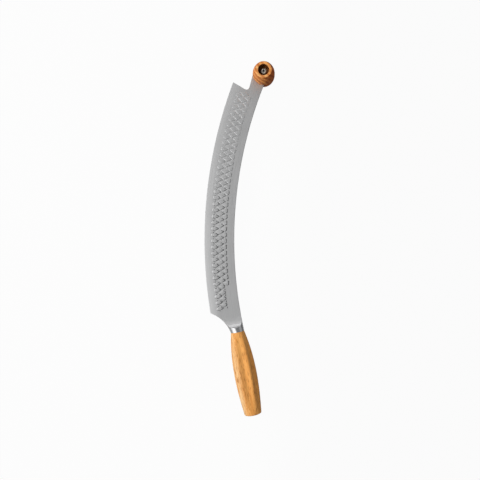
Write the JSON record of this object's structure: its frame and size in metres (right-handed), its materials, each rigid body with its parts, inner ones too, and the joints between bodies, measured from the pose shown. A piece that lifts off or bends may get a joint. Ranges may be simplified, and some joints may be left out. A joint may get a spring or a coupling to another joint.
{
  "type": "pizza and cheese knife",
  "caption": "Long curved knife with a convex cutting edge, embossed diamond band, fluted wooden handle and a turning wooden cross grip at the tip for rocking it with both hands.",
  "frame": {"origin": "middle of the underside of the part's box, with the knife lying on its rear face and the blade level", "axes": "+Y from the handle to the cross grip, +Z out of the front face along the cross grip's axis, +X from the cutting edge to the spine"},
  "size_m": [0.0886, 0.4404, 0.048],
  "materials": {
    "blade_steel": "satin, ground lengthwise",
    "bolster_steel": "polished",
    "handle_wood": "pale straight grain, oiled",
    "knob_wood": "reddish, figured grain, oiled",
    "screw_steel": "bright zinc"
  },
  "bodies": {
    "knife": {"blade": "blade_steel", "bolster": "bolster_steel", "handle": "handle_wood", "knob_sleeve": "screw_steel", "front_screw": "screw_steel", "rear_screw": "screw_steel"},
    "front_grip": {"front_knob": "knob_wood"},
    "rear_grip": {"rear_knob": "knob_wood"}
  },
  "joints": [
    {"name": "front_knob_turn", "type": "hinge", "parent": "knife", "child": "front_grip", "pos_m": [0.03055, 0.20646, 0.0367], "axis": [0, 0, 1], "continuous": true},
    {"name": "rear_knob_turn", "type": "hinge", "parent": "knife", "child": "rear_grip", "pos_m": [0.03055, 0.20646, 0.0113], "axis": [0, 0, 1], "continuous": true}
  ]
}
